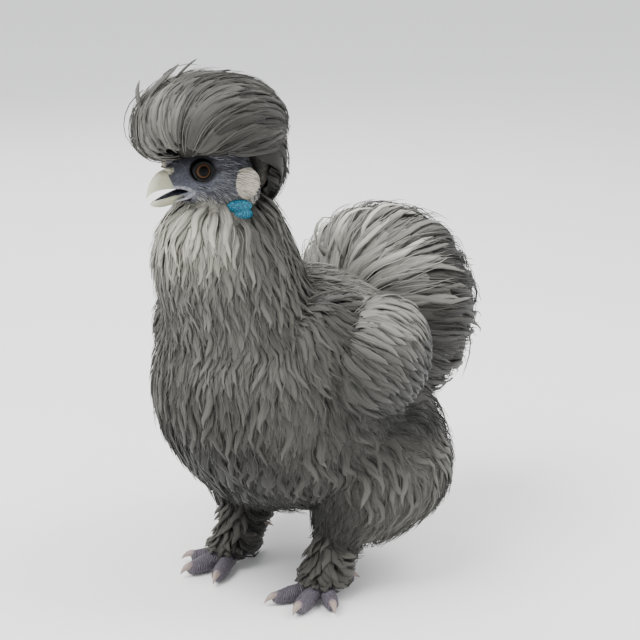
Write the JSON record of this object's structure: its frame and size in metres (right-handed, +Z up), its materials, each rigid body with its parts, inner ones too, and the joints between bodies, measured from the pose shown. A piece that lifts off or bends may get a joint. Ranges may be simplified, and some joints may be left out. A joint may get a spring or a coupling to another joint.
{
  "type": "silkie chicken",
  "caption": "Life-size still model of a standing grey silkie hen with a dome crest, soft plumage, round tail and feathered five-toed feet, her head turned a little.",
  "frame": {"origin": "on the ground, under the middle of the bird's box seen from above", "axes": "+Z up from the ground; the body faces -Y, so the bird's left side is +X"},
  "size_m": [0.1772, 0.2356, 0.3034],
  "materials": {
    "grey_plumage": "soft matte feathers",
    "pale_plumage": "soft matte feathers",
    "face_skin": "matte, finely pebbled",
    "horn": "satin horn",
    "mouth": "moist satin",
    "eye": "wet gloss",
    "earlobe": "matte skin",
    "foot_skin": "matte scales",
    "claw": "satin horn"
  },
  "bodies": {
    "root": {"beak_lower": "horn", "beak_upper": "horn", "claw_left_fifth": "claw", "claw_left_hind": "claw", "claw_left_inner": "claw", "claw_left_middle": "claw", "claw_left_outer": "claw", "claw_right_fifth": "claw", "claw_right_hind": "claw", "claw_right_inner": "claw", "claw_right_middle": "claw", "claw_right_outer": "claw", "comb": "face_skin", "crest": "grey_plumage", "ear_left": "pale_plumage", "ear_right": "pale_plumage", "earlobe_left": "earlobe", "earlobe_right": "earlobe", "eye_left": "eye", "eye_right": "eye", "foot_left": "foot_skin", "foot_right": "foot_skin", "head": "face_skin", "neck": "pale_plumage", "shank_left": "grey_plumage", "shank_right": "grey_plumage", "tail": "grey_plumage", "thigh_left": "grey_plumage", "thigh_right": "grey_plumage", "tongue": "mouth", "torso": "grey_plumage", "wing_left": "grey_plumage", "wing_right": "grey_plumage"}
  },
  "joints": []
}
